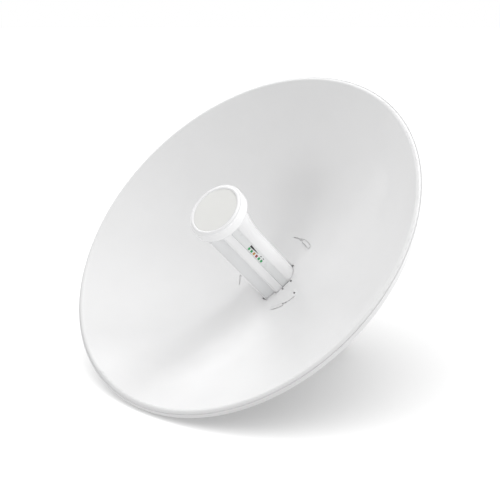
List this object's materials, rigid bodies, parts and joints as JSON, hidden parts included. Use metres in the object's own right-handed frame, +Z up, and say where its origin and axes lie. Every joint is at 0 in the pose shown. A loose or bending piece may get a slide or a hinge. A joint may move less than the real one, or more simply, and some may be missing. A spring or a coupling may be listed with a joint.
{
  "type": "outdoor wireless bridge",
  "caption": "White parabolic dish with a central radio feed and status lights, on a tilting bracket that a strap clamps to a pole.",
  "frame": {"origin": "on the pole's axis, at the middle of the clamp's height", "axes": "beam along -Y, +Z up along the pole, +X to the side of the status lights"},
  "size_m": [0.42, 0.2724, 0.42],
  "materials": {
    "dish_coat": "satin white powder coat",
    "housing_plastic": "fine spark-eroded texture, white",
    "rubber": "matt",
    "spring_steel": "satin",
    "button_plastic": "fine texture",
    "bracket_coat": "light grey powder coat",
    "zinc_steel": "zinc plated",
    "fibre": "matt fibre",
    "stainless": "rolled band",
    "knob_plastic": "moulded black",
    "feed_gloss": "glossy white",
    "feed_satin": "satin white",
    "light_window": "milky satin",
    "lens_green": "tinted clear",
    "lens_amber": "tinted clear",
    "lens_red": "tinted clear",
    "print_black": "pad print",
    "label_grey": "satin film",
    "disc_ivory": "satin ivory",
    "brass_plate": "plain",
    "board_green": "solder mask",
    "tinned_steel": "tinned",
    "gold_contact": "plated",
    "led_white": "clear",
    "transformer_black": "moulded"
  },
  "bodies": {
    "pole_mount": {"pole_bracket": "bracket_coat", "strap_band": "stainless", "worm_housing": "stainless", "pivot_bolt": "zinc_steel", "pivot_nut": "zinc_steel", "friction_washers": "fibre", "lock_bolts": "zinc_steel"},
    "dish": {"dish_reflector": "dish_coat", "housing_front_plate": "housing_plastic", "rear_housing": "housing_plastic", "housing_seal": "rubber", "latch_clip": "spring_steel", "release_spring": "spring_steel", "tilt_bracket": "bracket_coat", "flange_screws": "zinc_steel", "flange_nuts": "zinc_steel", "earth_screw": "zinc_steel", "door_hinge_pin": "zinc_steel"},
    "feed": {"feed_shell": "feed_gloss", "feed_cover": "feed_satin", "light_window": "light_window", "lens_signal_green": "lens_green", "lens_signal_amber": "lens_amber", "lens_signal_red": "lens_red", "lens_status_green": "lens_green", "light_marks": "print_black", "label_plate": "label_grey", "feed_cap": "feed_gloss", "cap_disc": "disc_ivory", "cap_seal": "rubber", "sub_reflector": "brass_plate", "radiator": "brass_plate", "radiator_board": "board_green", "radio_board": "board_green", "shield_cans": "tinned_steel", "status_leds": "led_white", "lan_transformer": "transformer_black", "ethernet_jack": "tinned_steel", "jack_contacts": "gold_contact", "feed_base": "feed_satin", "base_screws": "zinc_steel"},
    "cable_door": {"cable_door": "housing_plastic", "cable_grommet": "rubber"},
    "release_button": {"release_button": "button_plastic"},
    "reset_button": {"reset_button": "button_plastic"},
    "worm_screw": {"worm_screw": "stainless"},
    "lock_knob_right": {"lock_knob_right": "knob_plastic"},
    "lock_knob_left": {"lock_knob_left": "knob_plastic"}
  },
  "joints": [
    {"name": "elevation_tilt", "type": "hinge", "parent": "pole_mount", "child": "dish", "pos_m": [0, -0.052, 0], "axis": [1, 0, 0], "range_deg": [-20, 20]},
    {"name": "feed_slide", "type": "slide", "parent": "dish", "child": "feed", "axis": [0, -1, 0], "range_m": [0, 0.03]},
    {"name": "cable_door_hinge", "type": "hinge", "parent": "dish", "child": "cable_door", "pos_m": [0, -0.0795, -0.0466], "axis": [1, 0, 0], "range_deg": [0, 90]},
    {"name": "release_press", "type": "slide", "parent": "dish", "child": "release_button", "axis": [0, 0, -1], "range_m": [0, 0.0025], "stiffness_N_per_m": 600, "springref_m": -0.001, "deforming": ["release_spring"]},
    {"name": "reset_press", "type": "slide", "parent": "feed", "child": "reset_button", "axis": [0, -1, 0], "range_m": [0, 0.0008], "stiffness_N_per_m": 800, "springref_m": -0.0004},
    {"name": "worm_turn", "type": "hinge", "parent": "pole_mount", "child": "worm_screw", "pos_m": [-0.0316, 0, 0], "axis": [0, 1, 0], "continuous": true},
    {"name": "knob_turn_right", "type": "hinge", "parent": "pole_mount", "child": "lock_knob_right", "pos_m": [0.0365, -0.052, 0.02], "axis": [1, 0, 0], "continuous": true},
    {"name": "knob_turn_left", "type": "hinge", "parent": "pole_mount", "child": "lock_knob_left", "pos_m": [-0.0365, -0.052, 0.02], "axis": [-1, 0, 0], "continuous": true}
  ]
}
